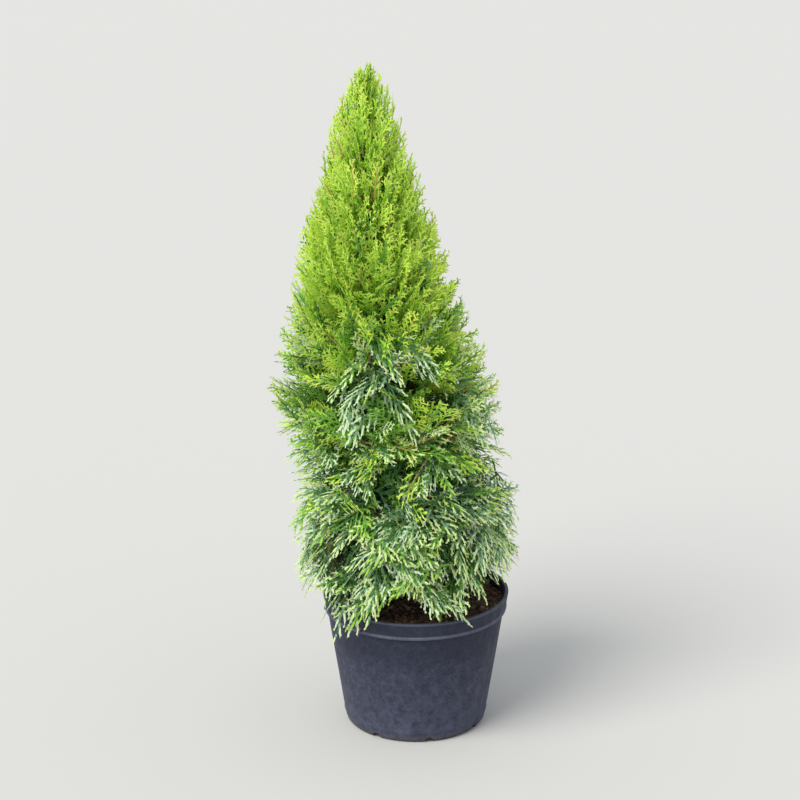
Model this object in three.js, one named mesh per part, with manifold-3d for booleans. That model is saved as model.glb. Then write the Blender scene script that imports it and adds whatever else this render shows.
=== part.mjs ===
// A young columnar thuja in a round plastic nursery pot, in millimetres, +Z up.
// The origin is the middle of the pot's flat underside, and -Y is the side that faces the viewer.
// The trunk leans to -X, boughs leave it in tiers, and each bough carries one mass of flat sprays.
import * as THREE from "three";
import { mergeVertices } from "three/addons/utils/BufferGeometryUtils.js";
import Module from "manifold-3d";

const wasm = await Module();
wasm.setup();

// Driving dimensions of the pot
const POT_HEIGHT = 190;
const RIM_RADIUS = 130;
const BASE_RADIUS = 98;
const COLLAR_HEIGHT = 24;
const COLLAR_STEP = 2.6;
const LIP_HEIGHT = 3;
const LIP_STEP = 1;
const WALL = 2.4;
const FLOOR = 3;
const FOOT_CHAMFER = 2.5;
const RIM_CHAMFER = 1;
const POT_SIDES = 30;
const DRAIN_COUNT = 8;
const DRAIN_WIDTH = 14;
const DRAIN_HEIGHT = 9;
const DRAIN_DEPTH = 12;
const DRAIN_TURN = 0.25;

// Driving dimensions of the soil
const SOIL_BELOW_RIM = 12;
const SOIL_FALL = 3;
const SOIL_FLAT_RADIUS = 30;
const SOIL_SIDES = 20;

// Driving dimensions of the trunk: its centre line, from below the soil to where the leader starts
const GAP = 0.3;
const TRUNK_LINE = [
  [4, 0, 160],
  [-5, 0, 235],
  [-24, 3, 350],
  [-42, 4, 460],
  [-54, 2, 580],
  [-59, 0, 700],
  [-59, -1, 800],
];
const TRUNK_RADIUS = 8.5;
const TRUNK_TIP_RADIUS = 2;
const FLARE_RADIUS = 13.5;
const FLARE_HEIGHT = 34;
const TRUNK_SIDES = 8;
const TRUNK_ROWS = 12;

// The crown's outline: [height, radius about the trunk's centre line]
const CROWN_TOP = 936;
const CROWN_PROFILE = [
  [148, 160],
  [221, 160],
  [312, 161],
  [410, 156],
  [478, 164],
  [541, 144],
  [617, 120],
  [695, 100],
  [765, 74],
  [845, 52],
  [900, 30],
  [CROWN_TOP, 5],
];

// How far the crown's middle lies from the trunk's centre line: [height, shift in X]
const CROWN_SHIFTS = [
  [235, -9],
  [285, -5],
  [335, 5],
  [640, 1],
  [880, -7],
];
const CROWN_SIDES = 24;
const SPACE_GAP = 0.5;

// How far foliage stays off the pot's walls and the soil, and from the inside of the rim
const FOLIAGE_OFF_POT = 2;
const FOLIAGE_IN_RIM = 6;
const FOLIAGE_IN_WALL = 10;
const LEADER_LEAN = -4;

// The tiers, from the soil up. Their spaces are parted by surfaces that start at the trunk at
// floor, and reach foldHeight at FOLD_RADIUS and edgeHeight at EDGE_RADIUS. A tier's limbs
// leave the trunk at level, and each ends out from it and up from its root, with arch as the
// rise of its middle. core is the half length, width and height of a mass's dense middle. Its
// sprays stand in rows and columns. rises are how steeply the lowest and highest of them head,
// spray their length and sag their hang, and drape turns their flat side from upright, at 0, to
// lying on the crown, at 1.
const FOLD_RADIUS = 85;
const EDGE_RADIUS = 175;
const TIERS = [
  {
    name: "skirt", count: 6, turn: 270, level: 202, floor: 100, foldHeight: 100, edgeHeight: 100,
    out: 104, up: 10, arch: 13, thickness: 3.4,
    core: [42, 40, 24], rows: 2, rises: [-45, 15], spray: 62, sag: 0.16, drape: 0.85,
  },
  {
    name: "lower", count: 5, turn: 250, level: 276, floor: 236, foldHeight: 262, edgeHeight: 236,
    out: 100, up: 52, arch: 12, thickness: 3.4,
    core: [42, 46, 40], rows: 4, rises: [-22, 42], spray: 88, sag: 0.18, drape: 0.8,
  },
  {
    name: "middle", count: 5, turn: 285, level: 362, floor: 324, foldHeight: 370, edgeHeight: 366,
    out: 92, up: 76, arch: 2, thickness: 3.1,
    core: [44, 44, 40], rows: 4, rises: [5, 58], spray: 92, sag: 0.1, drape: 0.75,
  },
  {
    name: "upper", count: 4, turn: 258, level: 455, floor: 418, foldHeight: 482, edgeHeight: 520,
    out: 76, up: 90, arch: -5, thickness: 2.8,
    core: [44, 42, 36], rows: 4, rises: [30, 66], spray: 88, sag: 0.05, drape: 0.6,
  },
  {
    name: "shoulder", count: 4, turn: 290, level: 558, floor: 522, foldHeight: 602,
    edgeHeight: 690, out: 60, up: 92, arch: -5, thickness: 2.4,
    core: [42, 32, 28], rows: 4, rises: [50, 72], spray: 80, sag: 0.03, drape: 0.55,
  },
  {
    name: "spire", count: 3, turn: 262, level: 666, floor: 632, foldHeight: 730, edgeHeight: 840,
    out: 38, up: 84, arch: -4, thickness: 2,
    core: [36, 24, 20], rows: 4, rises: [62, 76], spray: 70, sag: 0.02, drape: 0.5,
  },
];
const TOP = {
  name: "top", count: 1, floor: 748, foldHeight: 852, edgeHeight: 980, stem: 84,
  core: [32, 8, 8], rows: 3, rises: [70, 84], spray: 60, sag: 0.02, drape: 0.4,
};

// Limbs: a bough runs over the first share of its limb, and the mass's stem over the rest.
const BOUGH_SHARE = 0.28;
const BOUGH_TAPER = 0.66;
const STEM_TIP_RADIUS = 1;
const LEVEL_SPREAD = 8;
const BEARING_SPREAD = 4;
const TOP_BEARING = 250;
const SEED = 11;
const SEEDS_PER_TIER = 100;
const BOUGH_SIDES = 5;
const BOUGH_ROWS = 1;
const STEM_SIDES = 4;
const STEM_ROWS = 2;
const CUT_SIDES = 6;

// Masses: how far chance moves a mass's floor, and where its core lies on its stem.
const FLOOR_SPREAD = 8;
const CORE_AT = 0.45;
const CORE_SIDES = 6;
const CORE_ROWS = 4;
const CORE_LUMPS = 0.1;
const CORE_SHRINK = 0.94;
const CORE_LEAST = 0.4;

// Aims: the places on the crown's outline that sprays reach for, as shares of a mass's slice.
const COLUMNS = 3;
const TOP_COLUMNS = 4;
const SLICE_USED = 0.94;
const ROW_STAGGER = 0.2;
const AIM_SPREAD = 0.16;
const AIM_DEPTH = 0.98;
const FAN_OUT = 1.6;

// Tries: a spray with no room is tried again with its root pulled towards its foot, its aim
// moved by up to STRAY, another twist, and a smaller share of its length.
const TRIES = 20;
const PULL_MOST = 0.9;
const STRAY = 16;
const TWIST_SPREAD = 36;
const SHORTEST = 0.75;
const BEND_MOST = 85;
const BEND_COST = 1.3;
const FEET = 9;
const FIRST_FOOT = 0.1;
const LAST_FOOT = 0.97;

// Sprays: shares of their length, and the radii of their stalks.
const SPRAY_STRETCH = 1.3;
const SPRAY_TEETH = 4;
const FIRST_TOOTH = 0.3;
const TOOTH_STEP = 0.16;
const TOOTH_TAPER = 0.17;
const NOTCH_BACK = 0.12;
const NOTCH_DEPTH = 0.4;
const SPRAY_HALF_WIDTH = 0.19;
const SPRAY_THICKNESS = 0.03;
const SPRAY_BODY = 0.45;
const OUTWARD_RISE = 35;
const STALK_FOOT_RADIUS = 1.5;
const STALK_RADIUS = 1.1;

// Two solids count as clear of each other when they share less than this volume.
const CLEAR_VOLUME = 0.003;
const STEPS_TO_SETTLE = 24;

const soilTop = POT_HEIGHT - SOIL_BELOW_RIM;
const degrees = THREE.MathUtils.degToRad;

// A repeatable stream of numbers from 0 to 1.
function stream(seed) {
  let state = seed >>> 0;
  return () => {
    state = (state + 0x6d2b79f5) >>> 0;
    let mixed = Math.imul(state ^ (state >>> 15), state | 1);
    mixed ^= mixed + Math.imul(mixed ^ (mixed >>> 7), mixed | 61);
    return ((mixed ^ (mixed >>> 14)) >>> 0) / 2 ** 32;
  };
}

// A closed geometry as a solid that can be joined and cut.
function solid(geometry) {
  const bare = geometry.clone();
  bare.deleteAttribute("normal");
  bare.deleteAttribute("uv");
  const merged = mergeVertices(bare, 1e-4);
  const corners = merged.index.array;
  const kept = [];
  for (let i = 0; i < corners.length; i += 3) {
    const [a, b, c] = corners.slice(i, i + 3);
    if (a !== b && b !== c && c !== a) kept.push(a, b, c);
  }
  return new wasm.Manifold(
    new wasm.Mesh({
      numProp: 3,
      vertProperties: merged.attributes.position.array,
      triVerts: new Uint32Array(kept),
    }),
  );
}

// A solid as a named mesh of the scene.
function named(name, body, material) {
  const made = body.getMesh();
  const geometry = new THREE.BufferGeometry();
  geometry.setAttribute("position", new THREE.BufferAttribute(made.vertProperties, 3));
  geometry.setIndex(new THREE.BufferAttribute(made.triVerts, 1));
  geometry.computeVertexNormals();
  const mesh = new THREE.Mesh(geometry, material);
  mesh.name = name;
  return mesh;
}

// A solid of revolution about +Z from [radius, height] pairs, outwards at the bottom first.
function turned(profile, sides) {
  const points = profile.map(([radius, height]) => new THREE.Vector2(radius, height));
  return new THREE.LatheGeometry(points, sides).rotateX(Math.PI / 2);
}

// A tapering limb: a closed cylinder laid along a curve, with radiusAt(share of its length).
function limb(curve, radiusAt, sides, rows) {
  const geometry = new THREE.CylinderGeometry(1, 1, 1, sides, rows);
  const frames = curve.computeFrenetFrames(rows);
  const position = geometry.getAttribute("position");
  for (let i = 0; i < position.count; i++) {
    const row = Math.round((position.getY(i) + 0.5) * rows);
    const radius = radiusAt(row / rows);
    const point = curve
      .getPointAt(row / rows)
      .addScaledVector(frames.normals[row], position.getX(i) * radius)
      .addScaledVector(frames.binormals[row], -position.getZ(i) * radius);
    position.setXYZ(i, point.x, point.y, point.z);
  }
  return geometry;
}

// A direction from its bearing about +Z and its rise above the horizon, in degrees.
function direction(bearing, rise) {
  const flat = Math.cos(degrees(rise));
  return new THREE.Vector3(
    flat * Math.cos(degrees(bearing)),
    flat * Math.sin(degrees(bearing)),
    Math.sin(degrees(rise)),
  );
}

// The value at a height, in straight steps between [height, value] rows, level past their ends.
function stepped(rows, height) {
  for (let i = 1; i < rows.length; i++) {
    const [low, from] = rows[i - 1];
    const [high, to] = rows[i];
    if (height <= high) {
      return THREE.MathUtils.mapLinear(Math.max(height, low), low, high, from, to);
    }
  }
  return rows.at(-1)[1];
}

// The radius of the crown at a height: none above its top.
function crownRadius(height) {
  return height > CROWN_TOP ? 0 : stepped(CROWN_PROFILE, height);
}

const trunkLine = new THREE.CatmullRomCurve3(
  TRUNK_LINE.map(([x, y, z]) => new THREE.Vector3(x, y, z)),
);

// The point of the trunk's centre line at a height, which goes straight up past its ends.
function trunkAt(height) {
  let low = 0;
  let high = 1;
  for (let i = 0; i < STEPS_TO_SETTLE; i++) {
    const middle = (low + high) / 2;
    if (trunkLine.getPointAt(middle).z < height) low = middle;
    else high = middle;
  }
  const point = trunkLine.getPointAt((low + high) / 2);
  point.z = height;
  return point;
}

// The middle of the crown at a height.
function crownCentre(height) {
  const centre = trunkAt(height);
  centre.x += stepped(CROWN_SHIFTS, height);
  return centre;
}

// The trunk's radius at a share of its length: a straight taper with a flare at the foot.
function trunkRadius(share) {
  const height = trunkLine.getPointAt(share).z - soilTop;
  const flare = Math.max(0, 1 - height / FLARE_HEIGHT) ** 2;
  const taper = THREE.MathUtils.lerp(TRUNK_RADIUS, TRUNK_TIP_RADIUS, share);
  return taper + (FLARE_RADIUS - TRUNK_RADIUS) * Math.min(1, flare);
}

// A square slab round the trunk's foot, from z = low to z = high, for cutting.
function slab(low, high) {
  const wide = 2 * RIM_RADIUS;
  return solid(new THREE.BoxGeometry(wide, wide, high - low).translate(0, 0, (low + high) / 2));
}

// The pot's outer and inner walls taper alike, and the collar stands proud of the outer one.
function wallRadius(height) {
  const under = RIM_RADIUS - COLLAR_STEP;
  return THREE.MathUtils.mapLinear(height, 0, POT_HEIGHT, BASE_RADIUS, under);
}

function makePot() {
  const collarFoot = POT_HEIGHT - COLLAR_HEIGHT;
  const lipTop = collarFoot + LIP_HEIGHT;
  const collarRadius = (height) => wallRadius(height) + COLLAR_STEP;
  const profile = [
    [0, 0],
    [BASE_RADIUS - FOOT_CHAMFER, 0],
    [wallRadius(FOOT_CHAMFER), FOOT_CHAMFER],
    [wallRadius(collarFoot), collarFoot],
    [collarRadius(collarFoot) + LIP_STEP, collarFoot + LIP_STEP],
    [collarRadius(lipTop) + LIP_STEP, lipTop],
    [collarRadius(lipTop), lipTop + LIP_STEP],
    [RIM_RADIUS, POT_HEIGHT - RIM_CHAMFER],
    [RIM_RADIUS - RIM_CHAMFER, POT_HEIGHT],
    [wallRadius(POT_HEIGHT) - WALL + RIM_CHAMFER, POT_HEIGHT],
    [wallRadius(POT_HEIGHT) - WALL, POT_HEIGHT - RIM_CHAMFER],
    [wallRadius(FLOOR) - WALL, FLOOR],
    [0, FLOOR],
  ];
  const shell = solid(turned(profile, POT_SIDES));
  const drains = Array.from({ length: DRAIN_COUNT }, (_, i) => {
    const drain = new THREE.BoxGeometry(DRAIN_DEPTH, DRAIN_WIDTH, 2 * DRAIN_HEIGHT);
    drain.translate(BASE_RADIUS, 0, 0);
    return solid(drain.rotateZ((2 * Math.PI * (i + DRAIN_TURN)) / DRAIN_COUNT));
  });
  return drains.reduce((pot, drain) => pot.subtract(drain), shell);
}

function makeSoil() {
  const low = FLOOR + GAP;
  const edge = soilTop - SOIL_FALL;
  const inside = (height) => wallRadius(height) - WALL - 2 * GAP;
  return solid(
    turned(
      [
        [0, low],
        [inside(low), low],
        [inside(edge), edge],
        [SOIL_FLAT_RADIUS, soilTop],
        [0, soilTop],
      ],
      SOIL_SIDES,
    ),
  );
}

// The trunk with an allowance all round it: 0 for the trunk itself.
function trunkBody(allowance) {
  const radiusAt = (share) => trunkRadius(share) + allowance;
  const whole = solid(limb(trunkLine, radiusAt, TRUNK_SIDES, TRUNK_ROWS));
  return whole.subtract(slab(0, soilTop + GAP - allowance));
}

// Everything of the pot and soil that foliage stays out of.
function potKeepOut() {
  const clear = FOLIAGE_OFF_POT;
  const inside = RIM_RADIUS - WALL;
  return solid(
    turned(
      [
        [0, -clear],
        [BASE_RADIUS + clear, -clear],
        [RIM_RADIUS + 2 * clear, POT_HEIGHT - COLLAR_HEIGHT],
        [RIM_RADIUS + clear, POT_HEIGHT + clear],
        [inside - FOLIAGE_IN_RIM, POT_HEIGHT + clear],
        [inside - FOLIAGE_IN_WALL, soilTop + clear],
        [0, soilTop + clear],
      ],
      POT_SIDES,
    ),
  );
}

// The room inside the crown's outline.
function crownRoom() {
  const rows = CROWN_PROFILE.length - 1;
  const geometry = new THREE.CylinderGeometry(1, 1, 1, CROWN_SIDES, rows);
  const position = geometry.getAttribute("position");
  for (let i = 0; i < position.count; i++) {
    const [height, radius] = CROWN_PROFILE[Math.round((position.getY(i) + 0.5) * rows)];
    const centre = crownCentre(height);
    centre.x += position.getX(i) * radius;
    centre.y -= position.getZ(i) * radius;
    position.setXYZ(i, ...centre);
  }
  return solid(geometry);
}

// The height of the surface where a tier's space starts, at a distance from the trunk.
function floorAt(tier, radius) {
  const [from, to] = radius < FOLD_RADIUS ? [0, FOLD_RADIUS] : [FOLD_RADIUS, EDGE_RADIUS];
  const [low, high] =
    radius < FOLD_RADIUS ? [tier.floor, tier.foldHeight] : [tier.foldHeight, tier.edgeHeight];
  return THREE.MathUtils.mapLinear(radius, from, to, low, high);
}

// Everything above the surface where a tier's space starts, raised by lift.
function above(tier, lift) {
  const { x, y } = trunkAt(tier.floor);
  const high = CROWN_TOP + EDGE_RADIUS;
  const profile = [
    [0, tier.floor + lift],
    [FOLD_RADIUS, tier.foldHeight + lift],
    [EDGE_RADIUS, tier.edgeHeight + lift],
    [EDGE_RADIUS, high],
    [0, high],
  ];
  return solid(turned(profile, CROWN_SIDES).translate(x, y, 0));
}

// The upright slice of a tier round one bearing, drawn in by inset at its two sides.
function slice(tier, bearing, inset) {
  const half = 180 / tier.count;
  const { x, y } = trunkAt(tier.level);
  const reach = 3 * EDGE_RADIUS;
  const inward = inset / Math.sin(degrees(half));
  const aside = reach * Math.tan(degrees(half));
  const shape = new THREE.Shape([
    new THREE.Vector2(inward, 0),
    new THREE.Vector2(inward + reach, -aside),
    new THREE.Vector2(inward + reach, aside),
  ]);
  const depth = CROWN_TOP + EDGE_RADIUS;
  const geometry = new THREE.ExtrudeGeometry(shape, { depth, bevelEnabled: false });
  return solid(geometry.rotateZ(degrees(bearing)).translate(x, y, 0));
}

// The edge of a flat spray of length 1, from its root's right round its tip to its left, as
// [along, across] pairs. Its teeth take turns left and right, each narrower than the last.
function sprayEdge() {
  const sides = [[], []];
  for (let tooth = 0; tooth < SPRAY_TEETH; tooth++) {
    const side = sides[tooth % 2];
    const along = FIRST_TOOTH + TOOTH_STEP * tooth;
    const across = SPRAY_HALF_WIDTH * (1 - TOOTH_TAPER * tooth);
    if (side.length > 0) side.push([along - NOTCH_BACK, NOTCH_DEPTH * across]);
    side.push([along, across]);
  }
  const [left, right] = sides;
  return [...right.map(([along, across]) => [along, -across]), [1, 0], ...left.reverse()];
}
const SPRAY_EDGE = sprayEdge();

// A flat spray on its stalk, as one closed geometry. The stalk has three sides and runs from
// foot to root, and the blade leaves root along heading, with its flat side to facing, its
// thickest point at SPRAY_BODY and its far end hanging by sag.
function spray(foot, root, heading, facing, length, sag) {
  const across = new THREE.Vector3().crossVectors(facing, heading).normalize();
  const normal = new THREE.Vector3().crossVectors(heading, across).normalize();
  const points = [];
  const put = (point) => points.push(...point) / 3 - 1;
  const place = (along, aside, raised) => {
    const point = root.clone().addScaledVector(heading, along * length);
    point.addScaledVector(across, aside * length).addScaledVector(normal, raised);
    point.z -= sag * length * along * along;
    return put(point);
  };
  const ring = (centre, radius, sideways, upwards) => [
    put(centre.clone().addScaledVector(sideways, radius)),
    put(centre.clone().addScaledVector(sideways, -radius)),
    put(centre.clone().addScaledVector(upwards, -radius)),
  ];
  const way = root.clone().sub(foot).normalize();
  const footAcross = across.clone().projectOnPlane(way).normalize();
  const footNormal = new THREE.Vector3().crossVectors(way, footAcross);
  const [footLeft, footRight, footUnder] = ring(foot, STALK_FOOT_RADIUS, footAcross, footNormal);
  const [left, right, under] = ring(root, STALK_RADIUS, across, normal);
  const half = (SPRAY_THICKNESS * length) / 2;
  const over = place(SPRAY_BODY, 0, half);
  const below = place(SPRAY_BODY, 0, -half);
  const edge = [right, ...SPRAY_EDGE.map(([along, aside]) => place(along, aside, 0)), left];
  const faces = [
    [footRight, footLeft, footUnder],
    [right, left, footLeft],
    [right, footLeft, footRight],
    [left, under, footUnder],
    [left, footUnder, footLeft],
    [under, right, footRight],
    [under, footRight, footUnder],
    [over, left, right],
    [below, under, left],
    [below, right, under],
  ];
  for (let i = 1; i < edge.length; i++) {
    faces.push([over, edge[i - 1], edge[i]], [below, edge[i], edge[i - 1]]);
  }
  const geometry = new THREE.BufferGeometry();
  geometry.setAttribute("position", new THREE.Float32BufferAttribute(points, 3));
  geometry.setIndex(faces.flat());
  return geometry;
}

// The way a spray's flat side faces: across its heading and level when upright, and turned
// out from the crown by drape, then twisted by chance.
function sprayFacing(heading, bearing, drape, twist) {
  const upright = new THREE.Vector3(0, 0, 1).cross(heading).normalize();
  const outward = direction(bearing, OUTWARD_RISE);
  outward.addScaledVector(heading, -outward.dot(heading)).normalize();
  const facing = upright.lerp(outward, drape).normalize();
  return facing.applyAxisAngle(heading, degrees(twist));
}

// A stretch of another curve, between two shares of its length.
class Stretch extends THREE.Curve {
  constructor(whole, from, to) {
    super();
    Object.assign(this, { whole, from, to });
  }
  getPoint(share, target = new THREE.Vector3()) {
    return target.copy(this.whole.getPointAt(THREE.MathUtils.lerp(this.from, this.to, share)));
  }
}

// The curve of a bough and of the stem that carries on from it.
function limbCurve(start, bearing, tier) {
  const flat = direction(bearing, 0);
  const place = (share, extra) => {
    const point = start.clone().addScaledVector(flat, tier.out * share);
    point.z += tier.up * share + extra;
    return point;
  };
  return new THREE.QuadraticBezierCurve3(start, place(0.5, 2 * tier.arch), place(1, 0));
}

// A place on the crown's outline: across runs from 0 to 1 over the tier's slice round a bearing,
// and share from its floor to the next one's. It also gives the place's own bearing.
function outlinePlace(tier, next, bearing, across, share) {
  const used = next ? SLICE_USED : 1;
  const way = bearing + ((across * 2 - 1) * used * 180) / tier.count;
  let radius = EDGE_RADIUS;
  let height = 0;
  for (let i = 0; i < STEPS_TO_SETTLE; i++) {
    const low = Math.max(floorAt(tier, radius), CROWN_PROFILE[0][0]);
    const high = next ? floorAt(next, radius) : CROWN_TOP;
    height = THREE.MathUtils.lerp(low, high, share);
    radius = (radius + crownRadius(height)) / 2;
  }
  const out = direction(way, 0).multiplyScalar(AIM_DEPTH * crownRadius(height));
  return { way, place: crownCentre(height).add(out) };
}

const fits = (body, room) => body.subtract(room).volume() < CLEAR_VOLUME;
const touch = (one, other) => one.intersect(other).volume() > CLEAR_VOLUME;

// The dense middle of a mass: a lumpy faceted egg along its stem, as large as has room.
function coreOf(stemCurve, bearing, tier, room) {
  const along = stemCurve.getTangentAt(CORE_AT);
  const across = direction(bearing + 90, 0);
  const up = new THREE.Vector3().crossVectors(along, across);
  const turn = new THREE.Matrix4().makeBasis(along, across, up);
  turn.setPosition(stemCurve.getPointAt(CORE_AT));
  const egg = new THREE.SphereGeometry(1, CORE_SIDES, CORE_ROWS).rotateZ(Math.PI / 2);
  const position = egg.getAttribute("position");
  for (let i = 0; i < position.count; i++) {
    const point = new THREE.Vector3().fromBufferAttribute(position, i);
    point.multiplyScalar(1 + CORE_LUMPS * Math.sin(3 * point.x + 5 * point.y + bearing));
    position.setXYZ(i, ...point);
  }
  for (let size = 1; size > CORE_LEAST; size *= CORE_SHRINK) {
    const sized = egg.clone().scale(...tier.core.map((half) => half * size));
    const core = solid(sized.applyMatrix4(turn));
    if (fits(core, room)) return core;
  }
  throw new Error("no room for a core in " + tier.name);
}

// Where a mass's sprays reach for: rows and columns over its slice of the outline, each moved
// a little by chance. across and share run from 0 to 1 over the slice and up it.
function aimsOf(tier, columns, chance) {
  const aims = [];
  for (let row = 0; row < tier.rows; row++) {
    for (let column = 0; column < columns; column++) {
      const stagger = row % 2 ? ROW_STAGGER : -ROW_STAGGER;
      const across = (column + 0.5 + stagger + chance(AIM_SPREAD)) / columns;
      const share = (row + 0.5 + chance(AIM_SPREAD)) / tier.rows;
      aims.push({ across, share });
    }
  }
  return aims;
}

// The angle by which a spray on a root turns from the stalk that runs there from its foot.
const bendAt = (foot, root, heading) => root.clone().sub(foot).angleTo(heading);

// The point of a stem from which a stalk runs to root and on along heading with the least
// length and bend.
function footFor(stemCurve, root, heading) {
  const costOf = (foot) =>
    foot.distanceTo(root) * (BEND_COST - Math.cos(bendAt(foot, root, heading)));
  const feet = Array.from({ length: FEET }, (_, i) =>
    stemCurve.getPointAt(THREE.MathUtils.lerp(FIRST_FOOT, LAST_FOOT, i / (FEET - 1))),
  );
  return feet.sort((a, b) => costOf(a) - costOf(b))[0];
}

// One mass of foliage grown on a stem, inside its room.
function growMass({ tier, next, bearing, stemCurve, stemRadius, chance }, room) {
  const radiusAt = (share) => THREE.MathUtils.lerp(stemRadius, STEM_TIP_RADIUS, share);
  const core = coreOf(stemCurve, bearing, tier, room);
  const wood = solid(limb(stemCurve, radiusAt, STEM_SIDES, STEM_ROWS)).add(core);
  const sprays = [];
  const placed = [];

  // Adds a spray that reaches for place along wish, the first of some tries that has room.
  const addSpray = (place, wish, way) => {
    const wished = place.clone().addScaledVector(wish, -tier.spray);
    const foot = footFor(stemCurve, wished, wish);
    for (let i = 0; i < TRIES; i++) {
      const ease = i / (TRIES - 1);
      const root = wished.clone().lerp(foot, PULL_MOST * ease);
      const aim = new THREE.Vector3(chance(ease), chance(ease), chance(ease));
      aim.multiplyScalar(STRAY).add(place);
      const heading = aim.sub(root);
      const most = THREE.MathUtils.lerp(1, SHORTEST, ease);
      const length = most * Math.min(SPRAY_STRETCH * tier.spray, heading.length());
      heading.normalize();
      heading.z += tier.sag;
      heading.normalize();
      const facing = sprayFacing(heading, way, tier.drape, chance(TWIST_SPREAD));
      if (bendAt(foot, root, heading) > degrees(BEND_MOST)) continue;
      const body = solid(spray(foot, root, heading, facing, length, tier.sag));
      const bare = body.subtract(wood);
      if (!fits(bare, room) || placed.some((other) => touch(bare, other))) continue;
      sprays.push(body);
      placed.push(bare);
      return;
    }
  };

  const end = stemCurve.getPointAt(1);
  const onwards = stemCurve.getTangentAt(1);
  addSpray(end.addScaledVector(onwards, tier.spray), onwards, bearing);
  for (const { across, share } of aimsOf(tier, next ? COLUMNS : TOP_COLUMNS, chance)) {
    const { way, place } = outlinePlace(tier, next, bearing, across, share);
    const swung = bearing + (way - bearing) * FAN_OUT;
    const rise = THREE.MathUtils.lerp(...tier.rises, share);
    addSpray(place, direction(swung, rise), way);
  }
  return sprays.reduce((mass, body) => mass.add(body), wood);
}

const leafMaterial = new THREE.MeshStandardMaterial({ color: 0x6f9a35, roughness: 0.65 });
const barkMaterial = new THREE.MeshStandardMaterial({ color: 0x8a5a3c, roughness: 0.85 });
const potMaterial = new THREE.MeshStandardMaterial({ color: 0x2b2e38, roughness: 0.6 });
const soilMaterial = new THREE.MeshStandardMaterial({ color: 0x3a2a20, roughness: 1 });

const plant = new THREE.Group();
plant.add(named("pot", makePot(), potMaterial));
plant.add(named("soil", makeSoil(), soilMaterial));
plant.add(named("trunk", trunkBody(0), barkMaterial));

// A tier's limbs, evenly spaced round the trunk: each a bough, and the stem that carries on
// from it into its mass.
function tierLimbs(tier, order) {
  return Array.from({ length: tier.count }, (_, i) => {
    const random = stream(SEED + order * SEEDS_PER_TIER + i);
    const chance = (spread) => (random() * 2 - 1) * spread;
    const bearing = tier.turn + (i * 360) / tier.count;
    const start = trunkAt(tier.level + chance(LEVEL_SPREAD));
    const curve = limbCurve(start, bearing + chance(BEARING_SPREAD), tier);
    const boughCurve = new Stretch(curve, 0, BOUGH_SHARE);
    const radiusAt = (share) => tier.thickness * THREE.MathUtils.lerp(1, BOUGH_TAPER, share);
    const cutRadiusAt = (share) => radiusAt(share) + 2 * GAP;
    const bough = solid(limb(boughCurve, radiusAt, BOUGH_SIDES, BOUGH_ROWS));
    return {
      name: `${tier.name}_${i + 1}`,
      tier,
      next: TIERS[order + 1] ?? TOP,
      bearing,
      chance,
      lift: chance(FLOOR_SPREAD),
      bough: bough.subtract(trunkCut),
      cut: solid(limb(boughCurve, cutRadiusAt, CUT_SIDES, BOUGH_ROWS)),
      stemCurve: new Stretch(curve, BOUGH_SHARE + GAP / curve.getLength(), 1),
      stemRadius: tier.thickness * BOUGH_TAPER,
    };
  });
}

// The leader, which carries on from the trunk's tip, with sprays all round.
function leader() {
  const foot = trunkLine.getPointAt(1);
  foot.addScaledVector(trunkLine.getTangentAt(1), GAP);
  const tip = foot.clone().add(new THREE.Vector3(LEADER_LEAN, 0, TOP.stem));
  const random = stream(SEED);
  return {
    name: TOP.name,
    tier: TOP,
    next: null,
    bearing: TOP_BEARING,
    chance: (spread) => (random() * 2 - 1) * spread,
    lift: 0,
    stemCurve: new THREE.LineCurve3(foot, tip),
    stemRadius: TRUNK_TIP_RADIUS,
  };
}

const trunkCut = trunkBody(GAP);
const limbs = TIERS.flatMap(tierLimbs);
let free = limbs.reduce(
  (room, { cut }) => room.subtract(cut),
  crownRoom().subtract(potKeepOut()).subtract(trunkCut),
);

// From the top down, each mass takes its slice of what the masses above it leave free.
for (const grown of [...limbs, leader()].reverse()) {
  const { name, tier, bearing, lift, bough } = grown;
  let space = above(tier, lift);
  let taken = above(tier, lift - SPACE_GAP);
  if (bough) {
    space = space.intersect(slice(tier, bearing, SPACE_GAP));
    taken = taken.intersect(slice(tier, bearing, 0));
    plant.add(named(`bough_${name}`, bough, barkMaterial));
  }
  plant.add(named(`foliage_${name}`, growMass(grown, free.intersect(space)), leafMaterial));
  free = free.subtract(taken);
}

export default plant;
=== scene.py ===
"""The looks of a young thuja in a round nursery pot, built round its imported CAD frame.

Lengths are in millimetres until a mesh is made of them. +Z is up, the origin is the middle of the
pot's flat underside, and -Y is the side that faces the viewer. The trunk leans to -X.
"""

import math
from itertools import permutations, product
from types import SimpleNamespace

import bpy
import numpy as np
from mathutils import Euler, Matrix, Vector, noise


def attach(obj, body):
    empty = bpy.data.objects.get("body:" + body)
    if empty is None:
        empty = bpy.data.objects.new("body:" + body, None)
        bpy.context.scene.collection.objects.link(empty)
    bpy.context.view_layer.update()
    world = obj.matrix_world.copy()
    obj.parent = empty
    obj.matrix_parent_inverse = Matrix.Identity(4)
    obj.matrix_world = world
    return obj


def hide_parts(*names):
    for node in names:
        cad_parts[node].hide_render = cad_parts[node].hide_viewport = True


MM = 0.001
PIECE_LIMIT = 190_000
UP = np.array([0, 0, 1.0])

# The photograph's camera, the point it looks at, where the light comes from, and the floor's reach
EYE = (8, -3074, 1433)
AIM = (-22, 0, 468)
KEY_FROM = (-0.98, -0.95, 1.52)
FLOOR_REACH = 30000

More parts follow.
